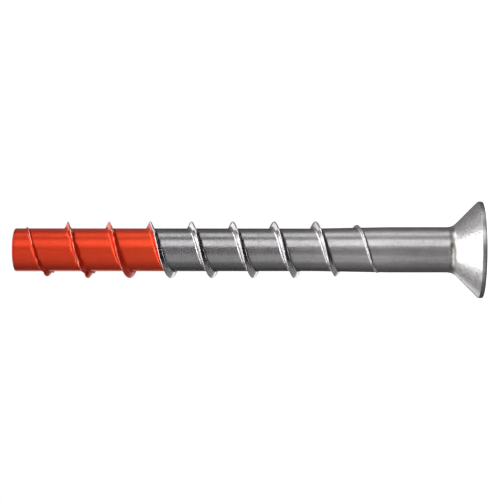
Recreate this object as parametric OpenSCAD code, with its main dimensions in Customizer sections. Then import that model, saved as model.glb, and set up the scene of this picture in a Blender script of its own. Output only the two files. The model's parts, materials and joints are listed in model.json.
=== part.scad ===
// Countersunk concrete screw, standing on the flat face of its head with the tip up.
// The screw's axis is Z, the face of the head lies on Z = 0, and all sizes are in millimetres.

/* [Overall] */
// Length from the face of the head to the tip
length = 100; // [75:1:160]

/* [Head] */
// Diameter of the head
head_d = 20.6; // [17:0.1:24]
// Height of the straight rim between the face and the cone
rim_h = 0.95; // [0.5:0.05:1.5]
// Full angle of the countersunk cone
cone_angle = 90; // [80:1:100]
// Edge break on both sides of the rim
rim_edge = 0.15; // [0.05:0.05:0.2]
// Radius of the fillet between the cone and the shank
neck_r = 2.8; // [1:0.1:4]

/* [Shank and core] */
// Diameter of the plain shank under the head
shank_d = 9.7; // [9.2:0.05:10.2]
// Diameter of the core at its thinnest, where the shank's taper ends
core_d = 9.1; // [8.5:0.05:9.5]
// Diameter of the core at the tip, towards which it grows a little
tip_d = 9.25; // [8.6:0.05:9.6]
// Length from the face of the head to the end of the thread
plain_l = 20; // [14:0.5:35]
// Length over which the shank narrows to the core
taper_l = 16; // [4:0.5:20]
// Radius on the edge of the tip
tip_edge = 0.3; // [0.1:0.05:0.45]

/* [Thread] */
// Diameter over the crests of the thread
thread_d = 12.1; // [11:0.05:13]
// Axial advance of the thread in one turn
pitch = 8.85; // [6:0.05:12]
// Angle between the two flanks of the ridge
flank_angle = 44; // [30:1:60]
// Width of the flat on the crest
crest_w = 0.16; // [0.1:0.02:0.4]
// Gap between the tip and the start of the ridge
start_gap = 0.9; // [0.6:0.1:2]
// Angle about the axis at which the ridge starts
start_angle = 64; // [0:1:359]
// Length over which the ridge rises to its full height at the tip
run_in_l = 8; // [4:0.1:14]
// Length over which the ridge sinks into the shank at the head end
run_out_l = 14.5; // [4:0.1:20]

/* [Saw teeth] */
// Number of notches in the crest, counted from the tip
notch_count = 16; // [0:1:24]
// Depth of a notch as a share of the height of the ridge
notch_share = 0.45; // [0.1:0.05:0.7]

/* [Drive socket] */
// Diameter over the lobes of the socket
socket_d = 8.95; // [8.4:0.05:9.4]
// Diameter between the ribs of the socket
socket_rib_d = 6.45; // [6.2:0.05:6.9]
// Radius of the end of a lobe
lobe_r = 0.78; // [0.7:0.02:0.9]
// Depth of the straight wall of the socket
socket_depth = 4.8; // [4.2:0.1:5.5]
// Full angle of the cone at the bottom of the socket
socket_floor_angle = 140; // [110:5:160]

/* [Coating] */
// Length of the red coat from the tip
coat_l = 31; // [15:0.5:45]

/* [Hidden] */

steel_colour = "#8f8e91";
coat_colour = "#c8301c";

head_r = head_d / 2;
shank_r = shank_d / 2;
core_r = core_d / 2;
tip_r = tip_d / 2;
thread_r = thread_d / 2;
rib_half = socket_rib_d / 2;
lobe_count = 6;
arc_steps = 8;
// Flat ledge between the ribs of the socket and the cone at its bottom
floor_ledge = 0.15;

// The ridge is swept in straight steps, and each saw tooth takes a whole number of them.
steps_per_turn = 64;
teeth_per_turn = 8;
steps_per_tooth = steps_per_turn / teeth_per_turn;
thread_l = length - plain_l - start_gap;
step_count = ceil(thread_l / pitch * steps_per_turn);
step_l = thread_l / step_count;
// The root of the ridge reaches this far into the body, so that the two solids join.
root_sink = 0.6;
// Both ends of the ridge run out this far under the surface of the body.
end_dive = 0.05;

coat_z = length - coat_l;
coat_step = round((coat_l - start_gap) / step_l);
// Cutting shapes reach this far past what they cut.
overshoot = 1;

// Points on an arc, without as many points at each end as skip says
function arc(centre, radius, from, to, skip = 0) =
    [for (i = [skip : arc_steps - skip])
        let (angle = from + (to - from) * i / arc_steps)
            centre + radius * [cos(angle), sin(angle)]];

function turned(point, angle) =
    [point[0] * cos(angle) - point[1] * sin(angle),
     point[0] * sin(angle) + point[1] * cos(angle)];

// Radius of the shank or the core at a height above the face of the head
function body_r(z) =
    lookup(z, [[plain_l, shank_r], [plain_l + taper_l, core_r], [length - tip_edge, tip_r]]);

// Half section of the blank, with the radius across and the height up
function blank_outline() =
    let (
        half_cone = cone_angle / 2,
        corner_z = rim_h + (head_r - shank_r) / tan(half_cone),
        neck_z = corner_z + neck_r * tan(half_cone / 2)
    )
    concat(
        [[0, 0], [head_r - rim_edge, 0], [head_r, rim_edge]],
        [[head_r, rim_h - rim_edge], [head_r - rim_edge, rim_h + rim_edge / tan(half_cone)]],
        arc([shank_r + neck_r, neck_z], neck_r, 180 + half_cone, 180),
        [[shank_r, plain_l], [core_r, plain_l + taper_l]],
        arc([tip_r - tip_edge, length - tip_edge], tip_edge, 0, 90),
        [[0, length]]
    );

// The blank between two heights
module blank(low, high) {
    rotate_extrude($fn = 96)
        intersection() {
            polygon(blank_outline());
            translate([-overshoot, low])
                square([head_r + 2 * overshoot, high - low]);
        }
}

// Height of the ridge over the body at a distance along the axis from the ridge's start
function ridge_h(along, full) =
    let (
        rise = full + end_dive,
        run_in = rise * along / run_in_l,
        run_out = rise * (thread_l - along) / run_out_l
    )
    min(rise, run_in, run_out) - end_dive;

// Share of the height that a step keeps: the second half of a tooth slopes down to the notch
// behind it, and the next tooth rises from there in one step
function tooth_share(step) =
    let (
        place = (step + steps_per_tooth - 1) % steps_per_tooth + 1,
        slope = max(0, 2 * place / steps_per_tooth - 1)
    )
    step >= notch_count * steps_per_tooth ? 1 : 1 - notch_share * slope;

// The four corners of the ridge's section at one step
function ridge_section(step) =
    let (
        along = step * step_l,
        z = length - start_gap - along,
        angle = start_angle - 360 * along / pitch,
        body = body_r(z),
        height = ridge_h(along, thread_r - body),
        crest = body + (height > 0 ? height * tooth_share(step) : height),
        root = body - root_sink,
        crest_half = crest_w / 2,
        root_half = crest_half + (crest - root) * tan(flank_angle / 2)
    )
    [for (corner = [[root, root_half], [crest, crest_half], [crest, -crest_half], [root, -root_half]])
        concat(turned([corner[0], 0], angle), z + corner[1])];

// The helical ridge between two steps
module thread_ridge(first, last) {
    sections = last - first;
    points = [for (step = [first : last]) each ridge_section(step)];
    sides = [for (i = [0 : sections - 1], side = [0 : 3])
        let (a = 4 * i + side, b = 4 * i + (side + 1) % 4)
            each [[a, b, b + 4], [a, b + 4, a + 4]]];
    end = 4 * sections;
    ends = [[3, 2, 1, 0], [end, end + 1, end + 2, end + 3]];
    polyhedron(points, concat(sides, ends), convexity = 10);
}

// Six-lobed outline, in which each lobe and the ribs beside it are arcs that meet at a tangent
function socket_outline() =
    let (
        lobe_angle = 360 / lobe_count,
        half = lobe_angle / 2,
        lobe_c = socket_d / 2 - lobe_r,
        rib_r = (lobe_c * lobe_c + rib_half * rib_half - lobe_r * lobe_r
                - 2 * lobe_c * rib_half * cos(half))
            / (2 * (lobe_r - rib_half + lobe_c * cos(half))),
        rib_c = rib_half + rib_r,
        // Direction from the centre of a lobe to the centre of the rib beside it
        lean = atan2(rib_c * sin(half), rib_c * cos(half) - lobe_c)
    )
    [for (i = [0 : lobe_count - 1], point = concat(
            arc([lobe_c, 0], lobe_r, -lean, lean),
            arc(turned([rib_c, 0], half), rib_r, 180 + lean, 180 + lobe_angle - lean, skip = 1)))
        turned(point, i * lobe_angle)];

module drive_socket() {
    floor_r = rib_half - floor_ledge;
    floor_h = floor_r / tan(socket_floor_angle / 2);
    translate([0, 0, -overshoot])
        linear_extrude(socket_depth + overshoot)
            polygon(socket_outline());
    translate([0, 0, socket_depth])
        rotate_extrude($fn = 48)
            polygon([[0, -overshoot], [floor_r, -overshoot], [floor_r, 0], [0, floor_h]]);
}

module bare_blank() {
    difference() {
        blank(-overshoot, coat_z);
        drive_socket();
    }
}

// The bare and the coated length of the ridge share a whole section, so they join before the blank cuts it.
module thread() {
    color(steel_colour) thread_ridge(coat_step, step_count);
    color(coat_colour) thread_ridge(0, coat_step);
}

module screw() {
    color(steel_colour) bare_blank();
    color(coat_colour) blank(coat_z, length + overshoot);
    thread();
}

screw();
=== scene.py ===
"""Looks of a countersunk concrete screw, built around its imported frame.

The screw stands on the face of its head with its tip up, so the axis is Z. The camera lies on its side,
so that the picture shows the screw level, with the head on the right. Sizes are in millimetres, and only
finished meshes, lamps and the camera are in metres.
"""

import json
import logging
import math
from collections.abc import Callable, Iterator, Mapping
from dataclasses import dataclass, field
from enum import Enum
from typing import Any, NamedTuple

import bmesh
import bpy
from mathutils import Matrix, Vector

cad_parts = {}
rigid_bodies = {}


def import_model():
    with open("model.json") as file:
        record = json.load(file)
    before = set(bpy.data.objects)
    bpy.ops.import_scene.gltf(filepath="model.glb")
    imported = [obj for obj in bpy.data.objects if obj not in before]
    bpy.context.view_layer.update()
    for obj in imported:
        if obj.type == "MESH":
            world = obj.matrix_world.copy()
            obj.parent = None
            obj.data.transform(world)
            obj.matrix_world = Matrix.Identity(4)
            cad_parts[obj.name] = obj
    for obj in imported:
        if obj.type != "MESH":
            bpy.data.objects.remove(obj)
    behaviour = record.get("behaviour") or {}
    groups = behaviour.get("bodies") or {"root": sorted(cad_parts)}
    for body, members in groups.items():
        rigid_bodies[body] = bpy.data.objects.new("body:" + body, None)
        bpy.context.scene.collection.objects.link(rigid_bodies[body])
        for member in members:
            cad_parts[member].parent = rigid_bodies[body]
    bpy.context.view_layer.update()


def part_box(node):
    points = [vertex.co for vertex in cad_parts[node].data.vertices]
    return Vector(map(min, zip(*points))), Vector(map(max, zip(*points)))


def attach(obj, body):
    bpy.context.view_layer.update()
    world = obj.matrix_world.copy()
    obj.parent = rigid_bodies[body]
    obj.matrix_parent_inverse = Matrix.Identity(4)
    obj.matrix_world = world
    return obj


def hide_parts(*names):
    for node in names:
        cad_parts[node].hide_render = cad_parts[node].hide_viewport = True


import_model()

log = logging.getLogger("screw")

MM = 0.001
NODE = "screw"
WHITE = "#ffffff"

# Names of the values that the mesh carries for the finish
COAT_EDGE = "coat_edge"
CREST = "crest"
WORKED = "worked"

# Blender's names for the node types used most
ATTRIBUTE = "ShaderNodeAttribute"
MATH = "ShaderNodeMath"
MIX = "ShaderNodeMix"
NOISE = "ShaderNodeTexNoise"
RANGE = "ShaderNodeMapRange"

# Distance from an edge to the ring of points that keeps the surface beside it flat
CREASE = 0.1

# A ring's radius as a function of the angle, and its height
Ring = tuple[Callable[[float], float], float]
# What a node's input can be fed from
Source = bpy.types.Node | bpy.types.NodeSocket


def add_node(
    tree: bpy.types.NodeTree,
    kind: str,
    inputs: Mapping[int | str, Any] | None = None,
    **settings: Any,
) -> bpy.types.Node:
    """Adds one node to a tree, with its settings and its links.

    Args:
        tree: The tree that gets the node.
        kind: Blender's name for the node's type.
        inputs: Socket number or name to a plain value, a socket, or a node whose first output is meant.
        **settings: The node's own properties.

    Returns:
        The new node.
    """
    node = tree.nodes.new(kind)
    for name, setting in settings.items():
        setattr(node, name, setting)
    for key, value in (inputs or {}).items():
        if isinstance(key, int):
            socket = node.inputs[key]
        else:
            socket = next(s for s in node.inputs if s.name == key and s.enabled)
        if isinstance(value, bpy.types.Node):
            value = next(s for s in value.outputs if s.enabled)
        if isinstance(value, bpy.types.NodeSocket):
            tree.links.new(value, socket)
        else:
            socket.default_value = value
    return node


def linear(colour: str) -> tuple[float, float, float, float]:
    """Turns an sRGB hex colour into linear values.

    Args:
        colour: Six hex digits after a hash sign.

    Returns:
        Linear red, green and blue, with an alpha of one.
    """
    shares = [int(colour[i : i + 2], 16) / 255 for i in (1, 3, 5)]
    red, green, blue = (s / 12.92 if s <= 0.04045 else ((s + 0.055) / 1.055) ** 2.4 for s in shares)
    return red, green, blue, 1.0


def per_mm(size: float) -> float:
    """Scale of a noise whose grain has this size in millimetres, on coordinates in millimetres."""
    return 1 / size


class Fade(NamedTuple):
    """Levels of a value at which a change starts and ends."""

    start: float
    end: float


@dataclass
class ScrewSizes:
    """The sizes that several parts of the screw share, in millimetres and degrees."""

    length: float
    head_d: float
    shank_d: float = 9.7
    core_d: float = 9.1
    tip_d: float = 9.25
    thread_d: float = 12.1
    plain_l: float = 20.0
    taper_l: float = 16.0
    tip_edge: float = 0.3
    columns: int = 168
    # How far the threaded length reaches below the ridge, and how far it ends below the tip's edge
    thread_lead: float = 1.0
    tip_gap: float = 0.05

    @classmethod
    def from_frame(cls) -> "ScrewSizes":
        """Takes the length and the head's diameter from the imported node."""
        low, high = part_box(NODE)
        return cls(length=(high[2] - low[2]) / MM, head_d=(high[0] - low[0]) / MM)

    @property
    def thread_low(self) -> float:
        """Height of the circle where the plain shank passes into the threaded length."""
        return self.plain_l - self.thread_lead

    @property
    def thread_high(self) -> float:
        """Height of the circle where the threaded length passes into the tip."""
        return self.tip_foot - self.tip_gap

    @property
    def taper_high(self) -> float:
        """Height at which the shank has narrowed to the core."""
        return self.plain_l + self.taper_l

    @property
    def tip_foot(self) -> float:
        """Height at which the rounded edge of the tip starts."""
        return self.length - self.tip_edge

    def body_r(self, z: float) -> float:
        """Radius of the shank or the core at a height.

        Args:
            z: The height over the face of the head, in millimetres.

        Returns:
            The radius in millimetres.
        """
        narrowed = min(max((z - self.plain_l) / self.taper_l, 0), 1)
        grown = min(max((z - self.taper_high) / (self.tip_foot - self.taper_high), 0), 1)
        across = self.shank_d + (self.core_d - self.shank_d) * narrowed
        return (across + (self.tip_d - self.core_d) * grown) / 2


@dataclass
class DriveSocket:
    """Six-lobed socket in the face of the head."""

    lobes_d: float = 8.95
    ribs_d: float = 6.45
    lobe_r: float = 0.78
    depth: float = 4.8
    floor_angle: float = 140
    floor_ledge: float = 0.15
    edge: float = 0.15
    lobe_count: int = 6
    # Radii of the rings on the cone at the bottom, as shares of the cone's own
    floor_shares: tuple[float, ...] = (0.25, 0.5, 0.75, 0.97, 1)

    @property
    def floor_r(self) -> float:
        """Radius of the cone at the bottom."""
        return self.ribs_d / 2 - self.floor_ledge

    @property
    def floor_rise(self) -> float:
        """Height of the cone at the bottom."""
        return self.floor_r / math.tan(math.radians(self.floor_angle / 2))

    def radius(self, angle: float) -> float:
        """Distance from the axis to the wall of the socket.

        Args:
            angle: Direction from the axis, in radians, with a lobe on zero.

        Returns:
            The distance in millimetres.
        """
        half = math.pi / self.lobe_count
        lobe_c = self.lobes_d / 2 - self.lobe_r
        rib = self.ribs_d / 2
        rib_r = (lobe_c**2 + rib**2 - self.lobe_r**2 - 2 * lobe_c * rib * math.cos(half)) / (
            2 * (self.lobe_r - rib + lobe_c * math.cos(half))
        )
        rib_c = rib + rib_r
        lean = math.atan2(rib_c * math.sin(half), rib_c * math.cos(half) - lobe_c)
        meeting = math.atan2(self.lobe_r * math.sin(lean), lobe_c + self.lobe_r * math.cos(lean))
        from_lobe = abs((angle + half) % (2 * half) - half)
        if from_lobe < meeting:
            return lobe_c * math.cos(from_lobe) + math.sqrt(
                self.lobe_r**2 - (lobe_c * math.sin(from_lobe)) ** 2
            )
        from_rib = half - from_lobe
        return rib_c * math.cos(from_rib) - math.sqrt(rib_r**2 - (rib_c * math.sin(from_rib)) ** 2)

    def rings(self) -> Iterator[Ring]:
        """Rings from the bottom of the socket to its mouth.

        Returns:
            The rings, in order.
        """
        for share in self.floor_shares:
            r = self.floor_r * share
            yield (lambda angle, r=r: r), self.depth + self.floor_rise * (1 - share)
        yield (lambda angle: self.radius(angle) - CREASE), self.depth
        for z in (self.depth - CREASE, self.depth / 2, self.edge + CREASE, self.edge):
            yield self.radius, z
        for turn in (30, 60, 90):
            step = math.radians(turn)
            out = self.edge * (1 - math.cos(step))
            up = self.edge * (1 - math.sin(step))
            yield (lambda angle, out=out: self.radius(angle) + out), up
        yield (lambda angle: self.radius(angle) + self.edge + CREASE), 0


@dataclass
class Blank:
    """Head, neck, plain shank and tip: everything but the threaded length."""

    sizes: ScrewSizes
    socket: DriveSocket = field(default_factory=DriveSocket)
    rim_h: float = 0.95
    rim_edge: float = 0.15
    cone_angle: float = 90
    neck_r: float = 2.8
    neck_steps: int = 10
    cone_steps: int = 6
    # Radius on the face from which its rings are spaced, just outside the socket's mouth
    face_r: float = 5.0

    def head_outline(self) -> list[tuple[float, float]]:
        """Radius and height along the head and the shank, from the face to the start of the thread.

        Returns:
            The points, in order.
        """
        half = math.radians(self.cone_angle / 2)
        head_r = self.sizes.head_d / 2
        shank_r = self.sizes.shank_d / 2
        corner_z = self.rim_h + (head_r - shank_r) / math.tan(half)
        neck_z = corner_z + self.neck_r * math.tan(half / 2)
        edge = self.rim_edge
        points = [(head_r - share * (head_r - self.face_r), 0.0) for share in (0.9, 0.6, 0.3)]
        points.append((head_r - edge - CREASE, 0.0))
        for turn in (0, 30, 60, 90):
            step = math.radians(turn)
            points.append((head_r - edge * (1 - math.sin(step)), edge * (1 - math.cos(step))))
        points.append((head_r, self.rim_h / 2))
        reach = edge * math.tan(half / 2)
        for share in (0, 1 / 3, 2 / 3, 1):
            step = half * share
            points.append(
                (head_r - edge * (1 - math.cos(step)), self.rim_h - reach + edge * math.sin(step))
            )
        rim_r, rim_z = points[-1]
        cone_foot = (rim_r - CREASE * math.sin(half), rim_z + CREASE * math.cos(half))
        neck = []
        for i in range(self.neck_steps + 1):
            step = half * (1 - i / self.neck_steps)
            neck.append(
                (shank_r + self.neck_r * (1 - math.cos(step)), neck_z - self.neck_r * math.sin(step))
            )
        for i in range(self.cone_steps):
            share = i / self.cone_steps
            points.append(tuple(a + (b - a) * share for a, b in zip(cone_foot, neck[0])))
        points += neck
        for share in (0.25, 0.5, 0.75, 1):
            points.append((shank_r, neck_z + (self.sizes.thread_low - neck_z) * share))
        return points

    def tip_outline(self) -> list[tuple[float, float]]:
        """Radius and height from the end of the thread over the edge of the tip to its flat end.

        Returns:
            The points, in order.
        """
        tip_r = self.sizes.tip_d / 2
        edge = self.sizes.tip_edge
        thread_high = self.sizes.thread_high
        points = [(self.sizes.body_r(thread_high), thread_high)]
        for turn in range(0, 91, 15):
            step = math.radians(turn)
            points.append(
                (tip_r - edge * (1 - math.cos(step)), self.sizes.length - edge * (1 - math.sin(step)))
            )
        points += [(tip_r * share, self.sizes.length) for share in (0.88, 0.6, 0.3)]
        return points

    def add_to(self, shape: bmesh.types.BMesh) -> None:
        """Adds both ends of the screw to a mesh.

        Args:
            shape: The mesh, in metres.
        """
        rings = list(self.socket.rings())
        rings += [((lambda angle, r=r: r), z) for r, z in self.head_outline()]
        floor_top = self.socket.depth + self.socket.floor_rise
        self.add_rings(shape, rings, closed=0, centre_z=floor_top)
        tip = [((lambda angle, r=r: r), z) for r, z in self.tip_outline()]
        self.add_rings(shape, tip, closed=-1, centre_z=self.sizes.length)

    def add_rings(
        self, shape: bmesh.types.BMesh, rings: list[Ring], closed: int, centre_z: float
    ) -> None:
        """Joins a row of rings with faces, and closes one end on the axis.

        Args:
            shape: The mesh, in metres.
            rings: The rings, in order.
            closed: Number of the ring to close, which is the first or the last.
            centre_z: Height at which that ring closes on the axis.
        """
        count = self.sizes.columns
        rows = []
        for radius, z in rings:
            row = []
            for i in range(count):
                angle = math.tau * i / count
                r = radius(angle)
                row.append(shape.verts.new(Vector((r * math.cos(angle), r * math.sin(angle), z)) * MM))
            rows.append(row)
        for low, high in zip(rows, rows[1:]):
            for i in range(count):
                j = (i + 1) % count
                shape.faces.new((low[i], low[j], high[j], high[i]))
        centre = shape.verts.new((0, 0, centre_z * MM))
        for i in range(count):
            shape.faces.new((rows[closed][i], rows[closed][(i + 1) % count], centre))


@dataclass
class Thread:
    """Threaded length: the core with its helical ridge, as one helical sheet of faces."""

    sizes: ScrewSizes
    pitch: float = 8.85
    start_gap: float = 0.9
    start_angle: float = 64
    flank_angle: float = 44
    crest_w: float = 0.16
    crest_round: float = 0.12
    root_fillet: float = 0.4
    run_in_l: float = 8.0
    run_out_l: float = 14.5
    teeth_per_turn: float = 8
    notch_share: float = 0.45
    notch_count: int = 16
    # Shares of a tooth between which its top slopes down, and its front rises out of the notch
    tooth_slope: Fade = Fade(0.5, 0.98)
    tooth_front: Fade = Fade(0.16, 0.02)
    rows_per_pitch: int = 32
    crowding: float = 0.17
    # Height under which the ridge counts as none, and distance within which points are welded
    least_h: float = 0.05
    weld: float = 0.002

    @property
    def crest_z(self) -> float:
        """Height at which the crest crosses the +X side for the second time, counted from the tip."""
        return self.sizes.length - self.start_gap - self.pitch * (1 + self.start_angle / 360)

    def inputs(self) -> dict[str, float | int]:
        """Named inputs of the node tree with their values.

        Returns:
            Input name to value. Whole numbers become whole-number sockets.
        """
        sizes = self.sizes
        start_z = sizes.length - self.start_gap
        turns_below = math.ceil((self.crest_z - sizes.thread_low) / self.pitch) + 1
        base_z = self.crest_z - turns_below * self.pitch
        pitches = math.ceil((sizes.thread_high - base_z) / self.pitch)
        return {
            "Columns": sizes.columns + 1,
            "Rows": pitches * self.rows_per_pitch + 1,
            "Pitches": float(pitches),
            "Pitch": self.pitch,
            "Base height": base_z,
            "Low end": sizes.thread_low,
            "High end": sizes.thread_high,
            "Shank radius": sizes.shank_d / 2,
            "Core radius": sizes.core_d / 2,
            "Taper low": sizes.plain_l,
            "Taper high": sizes.taper_high,
            "Tip foot": sizes.tip_foot,
            "Tip swell": (sizes.tip_d - sizes.core_d) / 2,
            "Crest radius": sizes.thread_d / 2,
            "Crest half width": self.crest_w / 2,
            "Crest rounding": self.crest_round,
            "Flank slope": 1 / math.tan(math.radians(self.flank_angle / 2)),
            "Root fillet": self.root_fillet,
            "Start height": start_z,
            "Ridge length": start_z - sizes.plain_l,
            "Run-in": self.run_in_l,
            "Run-out": self.run_out_l,
            "Teeth per pitch": self.teeth_per_turn,
            "Notch share": self.notch_share,
            "Notched length": (self.notch_count - 0.5) * self.pitch / self.teeth_per_turn,
            "Crowding": self.crowding,
        }

    def tree(self, finish: bpy.types.Material) -> bpy.types.NodeTree:
        """Builds the node tree that makes the threaded length.

        Args:
            finish: The material that the tree sets.

        Returns:
            The tree, with the inputs that inputs() names.
        """
        tree = bpy.data.node_groups.new("threaded_length", "GeometryNodeTree")
        for name, value in self.inputs().items():
            kind = "NodeSocketInt" if isinstance(value, int) else "NodeSocketFloat"
            tree.interface.new_socket(name=name, in_out="INPUT", socket_type=kind)
        tree.interface.new_socket(name="Mesh", in_out="OUTPUT", socket_type="NodeSocketGeometry")
        size = tree.nodes.new("NodeGroupInput").outputs

        grid = add_node(
            tree,
            "GeometryNodeMeshGrid",
            {"Size X": 1.0, "Size Y": 1.0, "Vertices X": size["Columns"], "Vertices Y": size["Rows"]},
        )
        position = add_node(tree, "GeometryNodeInputPosition")
        place = add_node(tree, "ShaderNodeSeparateXYZ", {0: position}).outputs
        # Share of a turn across the sheet, and the row counted in pitches up the sheet
        turn = add_node(tree, MATH, {0: place["X"], 1: 0.5}, operation="ADD")
        row_share = add_node(tree, MATH, {0: place["Y"], 1: 0.5}, operation="ADD")
        row = add_node(tree, MATH, {0: row_share, 1: size["Pitches"]}, operation="MULTIPLY")
        crest_number = add_node(tree, MATH, {0: row}, operation="ROUND")
        offset = add_node(tree, MATH, {0: row, 1: crest_number}, operation="SUBTRACT")
        # Rows crowd at the crest: offset times crowding, plus a cubic that reaches the half pitch
        square = add_node(tree, MATH, {0: offset, 1: offset}, operation="MULTIPLY")
        rest = add_node(tree, MATH, {0: 1.0, 1: size["Crowding"]}, operation="SUBTRACT")
        rest_four = add_node(tree, MATH, {0: rest, 1: 4.0}, operation="MULTIPLY")
        stretch = add_node(
            tree, MATH, {0: square, 1: rest_four, 2: size["Crowding"]}, operation="MULTIPLY_ADD"
        )
        spread = add_node(tree, MATH, {0: offset, 1: stretch}, operation="MULTIPLY")
        crest_turn = add_node(tree, MATH, {0: crest_number, 1: turn}, operation="ADD")
        crest_z = add_node(
            tree,
            MATH,
            {0: crest_turn, 1: size["Pitch"], 2: size["Base height"]},
            operation="MULTIPLY_ADD",
        )
        free_z = add_node(
            tree, MATH, {0: spread, 1: size["Pitch"], 2: crest_z}, operation="MULTIPLY_ADD"
        )
        z = add_node(
            tree, "ShaderNodeClamp", {"Value": free_z, "Min": size["Low end"], "Max": size["High end"]}
        )
        body = self.body_radius(tree, size, z)
        along = add_node(tree, MATH, {0: size["Start height"], 1: crest_z}, operation="SUBTRACT")
        height = self.ridge_height(tree, size, along, body)
        from_crest = add_node(tree, MATH, {0: z, 1: crest_z}, operation="SUBTRACT")
        gap = add_node(tree, MATH, {0: from_crest}, operation="ABSOLUTE")
        ridge = self.ridge_section(tree, size, gap, height)
        radius = add_node(tree, MATH, {0: body, 1: ridge}, operation="ADD")
        # Share of the ridge's own height, by which the finish finds the crest
        least = add_node(tree, MATH, {0: height, 1: self.least_h}, operation="MAXIMUM")
        crest_share = add_node(tree, MATH, {0: ridge, 1: least}, operation="DIVIDE", use_clamp=True)
        marked = add_node(
            tree,
            "GeometryNodeStoreNamedAttribute",
            {"Geometry": grid, "Name": CREST, "Value": crest_share},
        )
        angle = add_node(tree, MATH, {0: turn, 1: math.tau}, operation="MULTIPLY")
        cosine = add_node(tree, MATH, {0: angle}, operation="COSINE")
        sine = add_node(tree, MATH, {0: angle}, operation="SINE")
        x = add_node(tree, MATH, {0: radius, 1: cosine}, operation="MULTIPLY")
        y = add_node(tree, MATH, {0: radius, 1: sine}, operation="MULTIPLY")
        point = add_node(tree, "ShaderNodeCombineXYZ", {"X": x, "Y": y, "Z": z})
        metres = add_node(tree, "ShaderNodeVectorMath", {0: point, "Scale": MM}, operation="SCALE")
        moved = add_node(tree, "GeometryNodeSetPosition", {"Geometry": marked, "Position": metres})
        # The two sides of the sheet meet one pitch apart, and its ends collapse onto two circles
        merged = add_node(
            tree, "GeometryNodeMergeByDistance", {"Geometry": moved, "Distance": self.weld * MM}
        )
        real = add_node(tree, "GeometryNodeRealizeInstances", {"Geometry": merged})
        dressed = add_node(tree, "GeometryNodeSetMaterial", {"Geometry": real, "Material": finish})
        add_node(tree, "NodeGroupOutput", {"Mesh": dressed})
        return tree

    def body_radius(
        self, tree: bpy.types.NodeTree, size: Mapping[str, bpy.types.NodeSocket], z: Source
    ) -> bpy.types.Node:
        """Adds the nodes for the radius of the shank or the core.

        Args:
            tree: The tree that makes the threaded length.
            size: The tree's named inputs.
            z: Height over the face of the head.

        Returns:
            The radius without the ridge.
        """
        narrowed = add_node(
            tree,
            RANGE,
            {
                "Value": z,
                "From Min": size["Taper low"],
                "From Max": size["Taper high"],
                "To Min": size["Shank radius"],
                "To Max": size["Core radius"],
            },
        )
        swell = add_node(
            tree,
            RANGE,
            {
                "Value": z,
                "From Min": size["Taper high"],
                "From Max": size["Tip foot"],
                "To Max": size["Tip swell"],
            },
        )
        return add_node(tree, MATH, {0: narrowed, 1: swell}, operation="ADD")

    def ridge_height(
        self,
        tree: bpy.types.NodeTree,
        size: Mapping[str, bpy.types.NodeSocket],
        along: Source,
        body: Source,
    ) -> bpy.types.Node:
        """Adds the nodes for the height of the crest, with its saw teeth.

        Args:
            tree: The tree that makes the threaded length.
            size: The tree's named inputs.
            along: Distance along the axis from the ridge's start.
            body: Radius without the ridge.

        Returns:
            The height of the crest over the body.
        """
        # The ridge rises behind the tip and runs out into the shank
        left = add_node(tree, MATH, {0: size["Ridge length"], 1: along}, operation="SUBTRACT")
        rise = add_node(tree, MATH, {0: along, 1: size["Run-in"]}, operation="DIVIDE")
        fall = add_node(tree, MATH, {0: left, 1: size["Run-out"]}, operation="DIVIDE")
        lesser = add_node(tree, MATH, {0: rise, 1: fall}, operation="MINIMUM")
        share = add_node(tree, "ShaderNodeClamp", {"Value": lesser})
        full = add_node(tree, MATH, {0: size["Crest radius"], 1: body}, operation="SUBTRACT")
        whole = add_node(tree, MATH, {0: full, 1: share}, operation="MULTIPLY")
        # Each saw tooth slopes down to a notch, and the next rises steeply out of it
        turns = add_node(tree, MATH, {0: along, 1: size["Pitch"]}, operation="DIVIDE")
        teeth = add_node(tree, MATH, {0: turns, 1: size["Teeth per pitch"]}, operation="MULTIPLY")
        tooth = add_node(tree, MATH, {0: teeth}, operation="FRACT")
        slope = add_node(
            tree,
            RANGE,
            {"Value": tooth, "From Min": self.tooth_slope.start, "From Max": self.tooth_slope.end},
        )
        front = add_node(
            tree,
            RANGE,
            {"Value": tooth, "From Min": self.tooth_front.start, "From Max": self.tooth_front.end},
        )
        notch = add_node(tree, MATH, {0: slope, 1: front}, operation="MAXIMUM")
        toothed = add_node(tree, MATH, {0: along, 1: size["Notched length"]}, operation="LESS_THAN")
        cut = add_node(tree, MATH, {0: notch, 1: toothed}, operation="MULTIPLY")
        cut_share = add_node(tree, MATH, {0: cut, 1: size["Notch share"]}, operation="MULTIPLY")
        kept = add_node(tree, MATH, {0: 1.0, 1: cut_share}, operation="SUBTRACT")
        return add_node(tree, MATH, {0: whole, 1: kept}, operation="MULTIPLY")

    def ridge_section(
        self,
        tree: bpy.types.NodeTree,
        size: Mapping[str, bpy.types.NodeSocket],
        gap: Source,
        height: Source,
    ) -> bpy.types.Node:
        """Adds the nodes for the ridge's section: two flanks, a rounded crest and a fillet at the root.

        Args:
            tree: The tree that makes the threaded length.
            size: The tree's named inputs.
            gap: Distance from the middle of the crest, along the axis.
            height: Height of the crest over the body.

        Returns:
            The height of the ridge's surface over the body.
        """
        beside = add_node(tree, MATH, {0: gap, 1: size["Crest half width"]}, operation="SUBTRACT")
        drop = add_node(tree, MATH, {0: beside, 1: size["Flank slope"]}, operation="MULTIPLY")
        flank = add_node(tree, MATH, {0: height, 1: drop}, operation="SUBTRACT")
        crest_blend = add_node(tree, MATH, {0: height, 1: size["Crest rounding"]}, operation="MINIMUM")
        root_blend = add_node(tree, MATH, {0: height, 1: size["Root fillet"]}, operation="MINIMUM")
        topped = add_node(tree, MATH, {0: flank, 1: height, 2: crest_blend}, operation="SMOOTH_MIN")
        return add_node(tree, MATH, {0: topped, 1: 0.0, 2: root_blend}, operation="SMOOTH_MAX")

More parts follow.
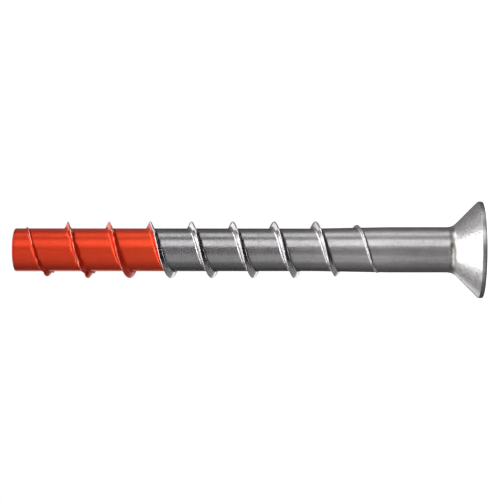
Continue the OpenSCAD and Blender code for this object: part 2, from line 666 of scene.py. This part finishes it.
    def add_to(self, shape: bmesh.types.BMesh, finish: bpy.types.Material) -> None:
        """Adds the threaded length to a mesh.

        Args:
            shape: The mesh, in metres.
            finish: The material that the tree sets.
        """
        tree = self.tree(finish)
        carrier = bpy.data.objects.new("thread_carrier", bpy.data.meshes.new("thread_carrier"))
        bpy.context.scene.collection.objects.link(carrier)
        modifier = carrier.modifiers.new("threaded_length", "NODES")
        modifier.node_group = tree
        values = self.inputs()
        for item in tree.interface.items_tree:
            if item.in_out == "INPUT":
                modifier[item.identifier] = values[item.name]
        view_layer = bpy.context.evaluated_depsgraph_get()
        mesh = bpy.data.meshes.new_from_object(carrier.evaluated_get(view_layer))
        carrier.modifiers.remove(modifier)
        shape.from_mesh(mesh)
        log.info("threaded length: %d faces", len(mesh.polygons))
        bpy.data.objects.remove(carrier)
        bpy.data.meshes.remove(mesh)
        bpy.data.node_groups.remove(tree)


@dataclass(frozen=True)
class Layer:
    """What one finish hands to the shader, with its relief in millimetres."""

    colour: bpy.types.Node
    metallic: bpy.types.Node | float
    roughness: bpy.types.Node
    relief: bpy.types.Node


@dataclass(frozen=True)
class RolledSteel:
    """Bare steel, cold-headed and thread-rolled.

    It gives the eye soft-edged stripes of light with faint streaks along the axis, a darker core between
    burnished flanks, a coarser sparkle where the metal was worked hardest, and a dull grey of painted
    shade on the camera's side of the neck, with darker stain spots.
    neck.
    """

    pale: str = "#d3d0d2"
    dull: str = "#bfbcbe"
    rolled: str = "#a09ea0"
    pit: str = "#8a888a"
    # Painted shade on the camera's side of the neck, and the darker stain spots in it
    neck_shade: str = "#7e7c79"
    stain: str = "#4b4943"
    smooth: float = 0.29
    rough: float = 0.37
    flank_rough: float = 0.2
    burnish: float = 0.07
    # Sizes of the streaks, the patches and the pits, which are coarser than real ones so that they show,
    # and depths of the pits on drawn and on worked metal
    streak_w: float = 0.6
    streak_l: float = 12.0
    mottle: float = 2.2
    grain: float = 0.55
    drawn_depth: float = 0.012
    worked_depth: float = 0.055
    # Levels of the noises between which streaks, die marks, pits, oil spots and roughness come in
    streak_fade: Fade = Fade(0.35, 0.65)
    mark_fade: Fade = Fade(0.35, 0.65)
    pit_fade: Fade = Fade(0.54, 0.68)
    spot_fade: Fade = Fade(0.42, 0.52)
    rough_fade: Fade = Fade(0.3, 0.7)
    # Strength of the pits, and the least share of them that is left where the metal was worked little
    pit_share: float = 0.6
    shank_pits: float = 0.45
    # Heights between which the dies darken the core, how much at the most, and the share in pale patches
    die_fade: Fade = Fade(22.0, 58.0)
    die_share: float = 0.95
    pale_share: float = 0.7
    # Shares of the ridge's height between which the die marks end, and the burnished flank begins
    mark_end: Fade = Fade(0.3, 0.05)
    flank_foot: Fade = Fade(0.05, 0.25)
    # Height of the neck's painted shade, distances from it, and places towards the camera for the shade
    # and its stain spots
    neck_shade_z: float = 6.65
    neck_shade_fade: Fade = Fade(0.9, 0.3)
    neck_shade_y: Fade = Fade(-1.8, -3.2)
    spot_y: Fade = Fade(-4.4, -4.9)

    def layer(self, tree: bpy.types.NodeTree, place: bpy.types.Node) -> Layer:
        """Adds the nodes of the steel.

        Args:
            tree: The material's tree.
            place: Position on the screw, in millimetres.

        Returns:
            What the steel hands to the shader.
        """
        axes = add_node(tree, "ShaderNodeSeparateXYZ", {0: place}).outputs
        mottle = add_node(
            tree,
            NOISE,
            {"Vector": place, "Scale": per_mm(self.mottle), "Detail": 5.0, "Roughness": 0.65},
        )
        grain = add_node(tree, NOISE, {"Vector": place, "Scale": per_mm(self.grain), "Detail": 2.0})
        worked = add_node(tree, ATTRIBUTE, attribute_name=WORKED).outputs["Fac"]
        crest = add_node(tree, ATTRIBUTE, attribute_name=CREST).outputs["Fac"]
        dies = add_node(
            tree,
            RANGE,
            {
                "Value": axes["Z"],
                "From Min": self.die_fade.start,
                "From Max": self.die_fade.end,
                "To Max": self.die_share,
            },
        )
        drawn = self.drawn_tone(tree, place)
        marked = self.marked_tone(tree, drawn, dies, mottle, crest)
        pitted = self.pitted_tone(tree, marked, grain, worked)
        colour = self.neck_shade_tone(tree, pitted, axes, mottle)
        roughness = self.roughness(tree, dies, mottle, crest)
        depth = add_node(
            tree, RANGE, {"Value": worked, "To Min": self.drawn_depth, "To Max": self.worked_depth}
        )
        relief = add_node(tree, MATH, {0: grain, 1: depth}, operation="MULTIPLY")
        return Layer(colour, 1.0, roughness, relief)

    def drawn_tone(self, tree: bpy.types.NodeTree, place: bpy.types.Node) -> bpy.types.Node:
        """Adds the streaks that drawing leaves along the axis.

        Args:
            tree: The material's tree.
            place: Position on the screw, in millimetres.

        Returns:
            The colour of the drawn steel.
        """
        drawn_place = add_node(
            tree,
            "ShaderNodeMapping",
            {"Vector": place, "Scale": (1.0, 1.0, self.streak_w / self.streak_l)},
        )
        streak = add_node(
            tree,
            NOISE,
            {"Vector": drawn_place, "Scale": per_mm(self.streak_w), "Detail": 3.0, "Roughness": 0.6},
        )
        streaked = add_node(
            tree,
            RANGE,
            {"Value": streak, "From Min": self.streak_fade.start, "From Max": self.streak_fade.end},
        )
        return add_node(
            tree,
            MIX,
            {"Factor": streaked, "A": linear(self.dull), "B": linear(self.pale)},
            data_type="RGBA",
        )

    def marked_tone(
        self, tree: bpy.types.NodeTree, drawn: Source, dies: Source, mottle: Source, crest: Source
    ) -> bpy.types.Node:
        """Adds the marks of the dies, which leave the core darker than the drawn shank.

        Args:
            tree: The material's tree.
            drawn: The colour of the drawn steel.
            dies: How much the dies have worked the metal at this height.
            mottle: Noise of the patches.
            crest: Share of the ridge's height.

        Returns:
            The colour with the marks.
        """
        off_ridge = add_node(
            tree,
            RANGE,
            {"Value": crest, "From Min": self.mark_end.start, "From Max": self.mark_end.end},
        )
        uneven = add_node(
            tree,
            RANGE,
            {
                "Value": mottle,
                "From Min": self.mark_fade.start,
                "From Max": self.mark_fade.end,
                "To Min": self.pale_share,
            },
        )
        patchy = add_node(tree, MATH, {0: dies, 1: uneven}, operation="MULTIPLY")
        darkened = add_node(tree, MATH, {0: patchy, 1: off_ridge}, operation="MULTIPLY")
        return add_node(
            tree, MIX, {"Factor": darkened, "A": drawn, "B": linear(self.rolled)}, data_type="RGBA"
        )

    def pitted_tone(
        self, tree: bpy.types.NodeTree, marked: Source, grain: Source, worked: Source
    ) -> bpy.types.Node:
        """Adds the scale left in small pits, most of it where the metal was worked hardest.

        Args:
            tree: The material's tree.
            marked: The colour under the scale.
            grain: Noise of the pits.
            worked: How hard the metal was worked.

        Returns:
            The colour with the scale.
        """
        pits = add_node(
            tree,
            RANGE,
            {
                "Value": grain,
                "From Min": self.pit_fade.start,
                "From Max": self.pit_fade.end,
                "To Max": self.pit_share,
            },
        )
        share = add_node(tree, MATH, {0: worked, 1: self.shank_pits}, operation="MAXIMUM")
        scale = add_node(tree, MATH, {0: pits, 1: share}, operation="MULTIPLY")
        return add_node(
            tree, MIX, {"Factor": scale, "A": marked, "B": linear(self.pit)}, data_type="RGBA"
        )

    def neck_shade_tone(
        self,
        tree: bpy.types.NodeTree,
        pitted: Source,
        axes: Mapping[str, bpy.types.NodeSocket],
        mottle: Source,
    ) -> bpy.types.Node:
        """Adds painted shade, a dull grey on the camera's side of the neck, with darker stain spots in
        it.

        Args:
            tree: The material's tree.
            pitted: The colour under the painted shade.
            axes: Position on the screw by axis, in millimetres.
            mottle: Noise of the patches.

        Returns:
            The colour with the painted shade and its stain spots.
        """
        from_neck = add_node(tree, MATH, {0: axes["Z"], 1: self.neck_shade_z}, operation="SUBTRACT")
        off_neck = add_node(tree, MATH, {0: from_neck}, operation="ABSOLUTE")
        near_neck = add_node(
            tree,
            RANGE,
            {"Value": off_neck, "From Min": self.neck_shade_fade.start, "From Max": self.neck_shade_fade.end},
            interpolation_type="SMOOTHSTEP",
        )
        front = add_node(
            tree,
            RANGE,
            {"Value": axes["Y"], "From Min": self.neck_shade_y.start, "From Max": self.neck_shade_y.end},
        )
        # Painted shade, only on the camera's side of the neck
        shaded_neck = add_node(tree, MATH, {0: near_neck, 1: front}, operation="MULTIPLY")
        middle = add_node(
            tree,
            RANGE,
            {"Value": axes["Y"], "From Min": self.spot_y.start, "From Max": self.spot_y.end},
        )
        patches = add_node(
            tree,
            RANGE,
            {"Value": mottle, "From Min": self.spot_fade.start, "From Max": self.spot_fade.end},
        )
        spots = add_node(tree, MATH, {0: middle, 1: patches}, operation="MULTIPLY")
        # Dull grey of painted shade, with darker stain spots
        shade_and_stain = add_node(
            tree,
            MIX,
            {"Factor": spots, "A": linear(self.neck_shade), "B": linear(self.stain)},
            data_type="RGBA",
        )
        return add_node(tree, MIX, {"Factor": shaded_neck, "A": pitted, "B": shade_and_stain}, data_type="RGBA")

    def roughness(
        self, tree: bpy.types.NodeTree, dies: Source, mottle: Source, crest: Source
    ) -> bpy.types.Node:
        """Adds the roughness, which the dies lower a little on the core and most on the flanks.

        Args:
            tree: The material's tree.
            dies: How much the dies have worked the metal at this height.
            mottle: Noise of the patches.
            crest: Share of the ridge's height.

        Returns:
            The roughness.
        """
        dulled = add_node(
            tree,
            RANGE,
            {
                "Value": mottle,
                "From Min": self.rough_fade.start,
                "From Max": self.rough_fade.end,
                "To Min": self.smooth,
                "To Max": self.rough,
            },
        )
        burnished = add_node(
            tree, MATH, {0: dies, 1: -self.burnish, 2: dulled}, operation="MULTIPLY_ADD"
        )
        on_flank = add_node(
            tree,
            RANGE,
            {"Value": crest, "From Min": self.flank_foot.start, "From Max": self.flank_foot.end},
        )
        return add_node(tree, MIX, {"Factor": on_flank, "A": burnished, "B": self.flank_rough})


@dataclass(frozen=True)
class TipLacquer:
    """Red lacquer, dipped on the tip and baked.

    It gives the eye an orange red that lets some of the steel's shine through, with a hint of orange
    peel. It is deeper towards the tip and darkest on the tip's edge, where the dark is painted shade,
    and pale along the crests, partly from scuffs and partly a painted highlight.
    """

    light: str = "#e54724"
    deep: str = "#c42f0f"
    # Painted shade on the tip's edge
    edge_shade: str = "#8c1206"
    # Pale pink on the crests, partly scuffed lacquer and partly a painted highlight
    scuff_and_highlight: str = "#ffb095"
    metal_share: float = 0.62
    scuff_metal: float = 0.1
    gloss: float = 0.35
    smooth: float = 0.27
    rough: float = 0.35
    # Sizes of the clouds and of the orange peel, and depth of the peel
    cloud: float = 2.6
    peel: float = 0.5
    peel_depth: float = 0.002
    # Levels of the noise between which the clouds pale, and how much they count
    cloud_fade: Fade = Fade(0.2, 0.8)
    cloud_share: float = 0.5
    # Heights from thin to thick lacquer with the paleness at each, and height of the edge's painted
    # shade
    thin_z: float = 70.0
    edge_shade_z: float = 99.3
    thin_tone: float = 0.5
    thick_tone: float = -0.1
    edge_shade_l: float = 0.6
    # The coat's edge: grain and reach of its waver, its softness and the step down to the steel
    edge_grain: float = 0.8
    edge_waver: float = 0.1
    edge_blur: float = 0.04
    thickness: float = 0.05
    # Scuffs and painted highlight: grain, place on the ridge, levels of noise they need, and strength
    scuff_grain: float = 1.4
    scuff_crest: Fade = Fade(0.86, 0.96)
    scuff_fade: Fade = Fade(0.4, 0.58)
    scuff_and_highlight_share: float = 0.85

    def layer(self, tree: bpy.types.NodeTree, place: bpy.types.Node) -> Layer:
        """Adds the nodes of the lacquer.

        Args:
            tree: The material's tree.
            place: Position on the screw, in millimetres.

        Returns:
            What the lacquer hands to the shader.
        """
        cloud = add_node(tree, NOISE, {"Vector": place, "Scale": per_mm(self.cloud), "Detail": 2.0})
        tone = add_node(
            tree,
            RANGE,
            {"Value": cloud, "From Min": self.cloud_fade.start, "From Max": self.cloud_fade.end},
        )
        dipped = self.dipped_tone(tree, place, tone)
        scuffs_and_highlights = self.scuffs_and_highlights(tree, place)
        # Pale crests: partly scuffs, partly painted highlight
        colour = add_node(
            tree, MIX, {"Factor": scuffs_and_highlights, "A": dipped, "B": linear(self.scuff_and_highlight)}, data_type="RGBA"
        )
        metallic = add_node(
            tree, MIX, {"Factor": scuffs_and_highlights, "A": self.metal_share, "B": self.scuff_metal}
        )
        roughness = add_node(tree, RANGE, {"Value": tone, "To Min": self.rough, "To Max": self.smooth})
        peel = add_node(tree, NOISE, {"Vector": place, "Scale": per_mm(self.peel)})
        relief = add_node(tree, MATH, {0: peel, 1: self.peel_depth}, operation="MULTIPLY")
        return Layer(colour, metallic, roughness, relief)

    def dipped_tone(
        self, tree: bpy.types.NodeTree, place: bpy.types.Node, tone: Source
    ) -> bpy.types.Node:
        """Adds the reds of the dip, which leaves more lacquer towards the tip, and painted shade on its
        edge.

        Args:
            tree: The material's tree.
            place: Position on the screw, in millimetres.
            tone: How pale the clouds are.

        Returns:
            The colour of the whole lacquer.
        """
        height = add_node(tree, "ShaderNodeSeparateXYZ", {0: place}).outputs["Z"]
        thin = add_node(
            tree,
            RANGE,
            {
                "Value": height,
                "From Min": self.thin_z,
                "From Max": self.edge_shade_z,
                "To Min": self.thin_tone,
                "To Max": self.thick_tone,
            },
        )
        paleness = add_node(
            tree,
            MATH,
            {0: tone, 1: self.cloud_share, 2: thin},
            operation="MULTIPLY_ADD",
            use_clamp=True,
        )
        red = add_node(
            tree,
            MIX,
            {"Factor": paleness, "A": linear(self.deep), "B": linear(self.light)},
            data_type="RGBA",
        )
        # Painted shade darkens the tip's edge
        shaded_edge = add_node(
            tree,
            RANGE,
            {"Value": height, "From Min": self.edge_shade_z, "From Max": self.edge_shade_z + self.edge_shade_l},
        )
        return add_node(
            tree, MIX, {"Factor": shaded_edge, "A": red, "B": linear(self.edge_shade)}, data_type="RGBA"
        )

    def scuffs_and_highlights(self, tree: bpy.types.NodeTree, place: bpy.types.Node) -> bpy.types.Node:
        """Adds the nodes that pale the lacquer on the crests, partly scuffs and partly a painted
        highlight.

        Args:
            tree: The material's tree.
            place: Position on the screw, in millimetres.

        Returns:
            How far the lacquer is paled by scuffs and painted highlight.
        """
        crest = add_node(tree, ATTRIBUTE, attribute_name=CREST).outputs["Fac"]
        noise = add_node(
            tree, NOISE, {"Vector": place, "Scale": per_mm(self.scuff_grain), "Detail": 3.0}
        )
        rubbed = add_node(
            tree,
            RANGE,
            {"Value": crest, "From Min": self.scuff_crest.start, "From Max": self.scuff_crest.end},
        )
        patches = add_node(
            tree,
            RANGE,
            {
                "Value": noise,
                "From Min": self.scuff_fade.start,
                "From Max": self.scuff_fade.end,
                "To Max": self.scuff_and_highlight_share,
            },
        )
        return add_node(tree, MATH, {0: rubbed, 1: patches}, operation="MULTIPLY")

    def cover(self, tree: bpy.types.NodeTree, place: bpy.types.Node) -> bpy.types.Node:
        """Adds the nodes that tell the coat from the bare steel.

        Args:
            tree: The material's tree.
            place: Position on the screw, in millimetres.

        Returns:
            One on the coat and zero on the steel, with a slightly wavering edge.
        """
        edge = add_node(tree, ATTRIBUTE, attribute_name=COAT_EDGE).outputs["Fac"]
        noise = add_node(
            tree, NOISE, {"Vector": place, "Scale": per_mm(self.edge_grain), "Detail": 3.0}
        )
        waver = add_node(
            tree, RANGE, {"Value": noise, "To Min": -self.edge_waver, "To Max": self.edge_waver}
        )
        wavered = add_node(tree, MATH, {0: edge, 1: waver}, operation="ADD")
        return add_node(
            tree, RANGE, {"Value": wavered, "From Min": -self.edge_blur, "From Max": self.edge_blur}
        )


@dataclass(frozen=True)
class ScrewFinish:
    """Rolled steel with a lacquered tip, in one material."""

    steel: RolledSteel = RolledSteel()
    lacquer: TipLacquer = TipLacquer()
    name: str = "rolled_steel_with_dipped_lacquer_tip"

    def material(self) -> bpy.types.Material:
        """Builds the material.

        Returns:
            The material, which reads the attributes that the screw's mesh carries.
        """
        finish = bpy.data.materials.new(self.name)
        finish.use_nodes = True
        tree = finish.node_tree
        tree.nodes.clear()
        metres = add_node(tree, "ShaderNodeTexCoord").outputs["Object"]
        place = add_node(
            tree, "ShaderNodeMapping", {"Vector": metres, "Scale": (1 / MM, 1 / MM, 1 / MM)}
        )
        steel = self.steel.layer(tree, place)
        lacquer = self.lacquer.layer(tree, place)
        coat = self.lacquer.cover(tree, place)
        colour = add_node(
            tree, MIX, {"Factor": coat, "A": steel.colour, "B": lacquer.colour}, data_type="RGBA"
        )
        metallic = add_node(tree, MIX, {"Factor": coat, "A": steel.metallic, "B": lacquer.metallic})
        roughness = add_node(
            tree, MIX, {"Factor": coat, "A": steel.roughness, "B": lacquer.roughness}
        )
        relief = add_node(tree, MIX, {"Factor": coat, "A": steel.relief, "B": lacquer.relief})
        # The coat stands above the steel by its thickness
        surface = add_node(
            tree, MATH, {0: coat, 1: self.lacquer.thickness, 2: relief}, operation="MULTIPLY_ADD"
        )
        bump = add_node(tree, "ShaderNodeBump", {"Height": surface, "Distance": MM})
        shader = add_node(
            tree,
            "ShaderNodeBsdfPrincipled",
            {
                "Base Color": colour,
                "Metallic": metallic,
                "Roughness": roughness,
                "Specular IOR Level": self.lacquer.gloss,
                "Normal": bump,
            },
        )
        add_node(tree, "ShaderNodeOutputMaterial", {"Surface": shader})
        return finish


@dataclass
class Screw:
    """The whole screw as one closed mesh."""

    sizes: ScrewSizes
    finish: ScrewFinish = field(default_factory=ScrewFinish)
    coat_turns: int = 3
    coat_gap: float = 0.25
    # How hard the core and the ridge were worked, where the head's cone counts as one
    core_worked: float = 0.29
    ridge_worked: float = 0.4
    # Shares of the ridge's height and of the cone's width over which the working sets in
    ridge_foot: float = 0.2
    cone_foot: float = 0.2
    # Distance within which the ends are welded to the threaded length
    seam: float = 0.004

    def build(self) -> bpy.types.Object:
        """Builds the mesh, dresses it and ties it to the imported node.

        Returns:
            The finished piece.
        """
        material = self.finish.material()
        blank = Blank(self.sizes)
        thread = Thread(self.sizes)
        shape = bmesh.new()
        blank.add_to(shape)
        thread.add_to(shape, material)
        bmesh.ops.remove_doubles(shape, verts=shape.verts, dist=self.seam * MM)
        bmesh.ops.recalc_face_normals(shape, faces=shape.faces)
        open_edges = sum(1 for edge in shape.edges if not edge.is_manifold)
        for face in shape.faces:
            face.smooth = True
            face.material_index = 0
        mesh = bpy.data.meshes.new("screw_body")
        shape.to_mesh(mesh)
        shape.free()
        mesh.materials.clear()
        mesh.materials.append(material)
        self.mark(mesh, blank, thread)
        piece = bpy.data.objects.new("screw_body", mesh)
        bpy.context.scene.collection.objects.link(piece)
        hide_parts(NODE)
        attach(piece, "root")
        log.info("screw_body: %d faces, %d open edges", len(mesh.polygons), open_edges)
        return piece

    def mark(self, mesh: bpy.types.Mesh, blank: Blank, thread: Thread) -> None:
        """Stores what the finish reads at each vertex.

        The coat's edge follows the crest on the camera's side, and mirrors that line on the other side.

        Args:
            mesh: The finished mesh, in metres.
            blank: The head and the shank.
            thread: The threaded length.
        """
        edge = mesh.attributes.new(COAT_EDGE, "FLOAT", "POINT")
        crest = mesh.attributes[CREST]
        worked = mesh.attributes.new(WORKED, "FLOAT", "POINT")
        coat_z = thread.crest_z - self.coat_turns * thread.pitch + self.coat_gap
        neck_r = self.sizes.shank_d / 2
        head_r = self.sizes.head_d / 2
        for i, vertex in enumerate(mesh.vertices):
            x, y, z = vertex.co / MM
            r = math.hypot(x, y)
            turn = math.atan2(y, x) / math.tau % 1
            edge.data[i].value = z - coat_z - thread.pitch * max(turn, 1 - turn)
            if z > self.sizes.thread_low:
                rolled = min(max((z - self.sizes.plain_l) / self.sizes.taper_l, 0), 1)
                on_ridge = min(crest.data[i].value / self.ridge_foot, 1)
                worked.data[i].value = max(self.core_worked * rolled, self.ridge_worked * on_ridge)
            elif blank.rim_h < z and r > neck_r:
                on_cone = (r - neck_r) / (head_r - neck_r)
                worked.data[i].value = min(on_cone / self.cone_foot, 1)


class Reach(Enum):
    """What a lamp lights."""

    REFLECTIONS = "shows in shiny surfaces only"
    SHADING = "lights matt surfaces only"


@dataclass(frozen=True)
class Softbox:
    """A soft lamp, placed by the directions in which the screw sees it, in degrees.

    A bearing is measured about the screw's axis, from the camera's side towards the top of the picture,
    and a rise is measured from the head's side towards the tip's.
    """

    name: str
    bearing: float
    rise: float
    width: float
    height: float
    radiance: float
    reach: Reach = Reach.REFLECTIONS
    distance: float = 0.8

    def add(self, target: Vector) -> bpy.types.Object:
        """Adds the lamp to the scene.

        Args:
            target: The point that the lamp faces, in metres.

        Returns:
            The lamp.
        """
        lamp = bpy.data.lights.new(self.name, "AREA")
        lamp.shape = "RECTANGLE"
        lamp.size = 2 * self.distance * math.tan(math.radians(self.width / 2))
        lamp.size_y = 2 * self.distance * math.tan(math.radians(self.height / 2))
        lamp.energy = self.radiance * math.pi * lamp.size * lamp.size_y
        holder = bpy.data.objects.new(self.name, lamp)
        bearing = math.radians(self.bearing)
        rise = math.radians(self.rise)
        outward = Vector(
            (
                math.sin(bearing) * math.cos(rise),
                -math.cos(bearing) * math.cos(rise),
                math.sin(rise),
            )
        )
        holder.location = target + outward * self.distance
        holder.rotation_mode = "QUATERNION"
        holder.rotation_quaternion = outward.to_track_quat("Z", "Y")
        holder.visible_camera = False
        holder.visible_diffuse = self.reach is Reach.SHADING
        holder.visible_glossy = self.reach is Reach.REFLECTIONS
        bpy.context.scene.collection.objects.link(holder)
        return holder


@dataclass
class Studio:
    """White floor and surroundings with softboxes around the screw."""

    sizes: ScrewSizes
    bright_side: tuple[float, float, float] = (0.2, -0.97, 0.1)
    front_glow: float = 0.175
    back_glow: float = 0.055
    # Where the surroundings turn from the dark back to the front, and from the darker floor upwards
    back_fade: Fade = Fade(-0.8, -0.3)
    low_fade: Fade = Fade(-0.4, -0.1)
    low_share: float = 0.15
    paper: str = "#f3f3f3"
    floor_glow: float = 0.9
    floor_half: float = 4.0
    # Each lamp has its name, bearing, rise, width, height and radiance.
    lamps: tuple[Softbox, ...] = (
        # Stripes along the shank
        Softbox("key_strip", 33.5, 8, 34, 36, 1.42),
        Softbox("upper_strip", 84, 8, 25, 36, 1.08),
        Softbox("lower_strip", -50, 8, 46, 36, 0.3),
        # Stripes that show from above and from behind
        Softbox("key_low_strip", 33.5, -20, 34, 11, 1.2),
        Softbox("upper_low_strip", 84, -20, 25, 11, 1.0),
        Softbox("back_low_strip", 178, -20, 36, 12, 1.5),
        # White on the middle of the cone, greys above and below it
        Softbox("overhead_box", 270, 88, 44, 52, 2.8),
        Softbox("upper_cone_fill", 142, 34, 50, 52, 0.15),
        Softbox("lower_cone_fill", 232, 42, 44, 46, 0.3),
        Softbox("cone_edge_panel", 203, 15, 20, 16, 1.3),
        # White on the flanks that face the tip, which see it by way of the core beside them
        Softbox("flank_panel", 38, 45, 92, 16, 8.2),
        Softbox("flank_panel_low", -50, 34, 76, 14, 5.6),
        Softbox("crest_panel", 173, 36, 18, 24, 1.4),
        # Grey on the lower flanks that face the head
        Softbox("under_panel", 206, -37, 56, 36, 0.3),
        Softbox("under_front_panel", 262, -50, 56, 16, 0.6),
        # Shading of the lacquer
        Softbox("shading_key", 46, 10, 50, 50, 3.8, Reach.SHADING),
        Softbox("shading_fill", -60, 0, 60, 60, 1.5, Reach.SHADING),
    )

    def build(self) -> None:
        """Adds the surroundings, the floor and the lamps."""
        self.add_world()
        self.add_floor()
        middle = Vector((0, 0, self.sizes.length / 2 * MM))
        for lamp in self.lamps:
            lamp.add(middle)
        bpy.context.scene.view_settings.view_transform = "Standard"
        log.info("studio: %d lamps", len(self.lamps))

    def add_world(self) -> None:
        """Makes the surroundings white to the camera, and dim to the screw with a darker back."""
        world = bpy.data.worlds.new("studio")
        world.use_nodes = True
        tree = world.node_tree
        tree.nodes.clear()
        white = linear(WHITE)
        towards = add_node(tree, "ShaderNodeTexCoord").outputs["Generated"]
        facing = add_node(
            tree, "ShaderNodeVectorMath", {0: towards, 1: self.bright_side}, operation="DOT_PRODUCT"
        )
        glow = add_node(
            tree,
            RANGE,
            {
                "Value": facing,
                "From Min": self.back_fade.start,
                "From Max": self.back_fade.end,
                "To Min": self.back_glow,
                "To Max": self.front_glow,
            },
        )
        height = add_node(tree, "ShaderNodeSeparateXYZ", {0: towards}).outputs["Z"]
        below = add_node(
            tree,
            RANGE,
            {
                "Value": height,
                "From Min": self.low_fade.start,
                "From Max": self.low_fade.end,
                "To Min": self.low_share,
            },
        )
        strength = add_node(tree, MATH, {0: glow, 1: below}, operation="MULTIPLY")
        dim = add_node(tree, "ShaderNodeBackground", {"Color": white, "Strength": strength})
        backdrop = add_node(tree, "ShaderNodeBackground", {"Color": white, "Strength": 1.0})
        path = add_node(tree, "ShaderNodeLightPath")
        seen = add_node(
            tree, "ShaderNodeMixShader", {0: path.outputs["Is Camera Ray"], 1: dim, 2: backdrop}
        )
        add_node(tree, "ShaderNodeOutputWorld", {"Surface": seen})
        bpy.context.scene.world = world

    def add_floor(self) -> None:
        """Adds a floor of matt paper, which burns out to white and which the reflections leave out."""
        half = self.floor_half
        mesh = bpy.data.meshes.new("floor")
        corners = [(-half, -half, 0), (half, -half, 0), (half, half, 0), (-half, half, 0)]
        mesh.from_pydata(corners, [], [(0, 1, 2, 3)])
        paper = bpy.data.materials.new("white_paper_sweep")
        paper.use_nodes = True
        tree = paper.node_tree
        tree.nodes.clear()
        shader = add_node(
            tree,
            "ShaderNodeBsdfPrincipled",
            {
                "Base Color": linear(self.paper),
                "Roughness": 1.0,
                "Emission Color": linear(WHITE),
                "Emission Strength": self.floor_glow,
            },
        )
        add_node(tree, "ShaderNodeOutputMaterial", {"Surface": shader})
        mesh.materials.append(paper)
        floor = bpy.data.objects.new("floor", mesh)
        floor.visible_glossy = False
        floor.visible_diffuse = False
        floor.visible_shadow = False
        bpy.context.scene.collection.objects.link(floor)


@dataclass
class ProductCamera:
    """Camera that lies on its side, so that the screw's axis runs level through the picture."""

    place: tuple[float, float, float] = (-16.5, -342.1, 38.2)
    aim: tuple[float, float, float] = (-0.04, 0, 49.5)
    lens: float = 115.24
    near: float = 10.0

    def add(self) -> bpy.types.Object:
        """Adds the camera and makes it the scene's own.

        Returns:
            The camera.
        """
        data = bpy.data.cameras.new("product_camera")
        data.lens = self.lens
        data.clip_start = self.near * MM
        camera = bpy.data.objects.new("product_camera", data)
        place = Vector(self.place) * MM
        look = (Vector(self.aim) * MM - place).normalized()
        towards_head = Vector((0, 0, -1))
        right = (towards_head - look * towards_head.dot(look)).normalized()
        turn = Matrix((right, right.cross(look), -look)).transposed()
        camera.matrix_world = Matrix.Translation(place) @ turn.to_4x4()
        bpy.context.scene.collection.objects.link(camera)
        bpy.context.scene.camera = camera
        return camera


def main() -> None:
    """Builds the camera, the screw and the studio, in that order."""
    logging.basicConfig(level=logging.INFO)
    sizes = ScrewSizes.from_frame()
    ProductCamera().add()
    Screw(sizes).build()
    Studio(sizes).build()


if __name__ == "__main__":
    main()
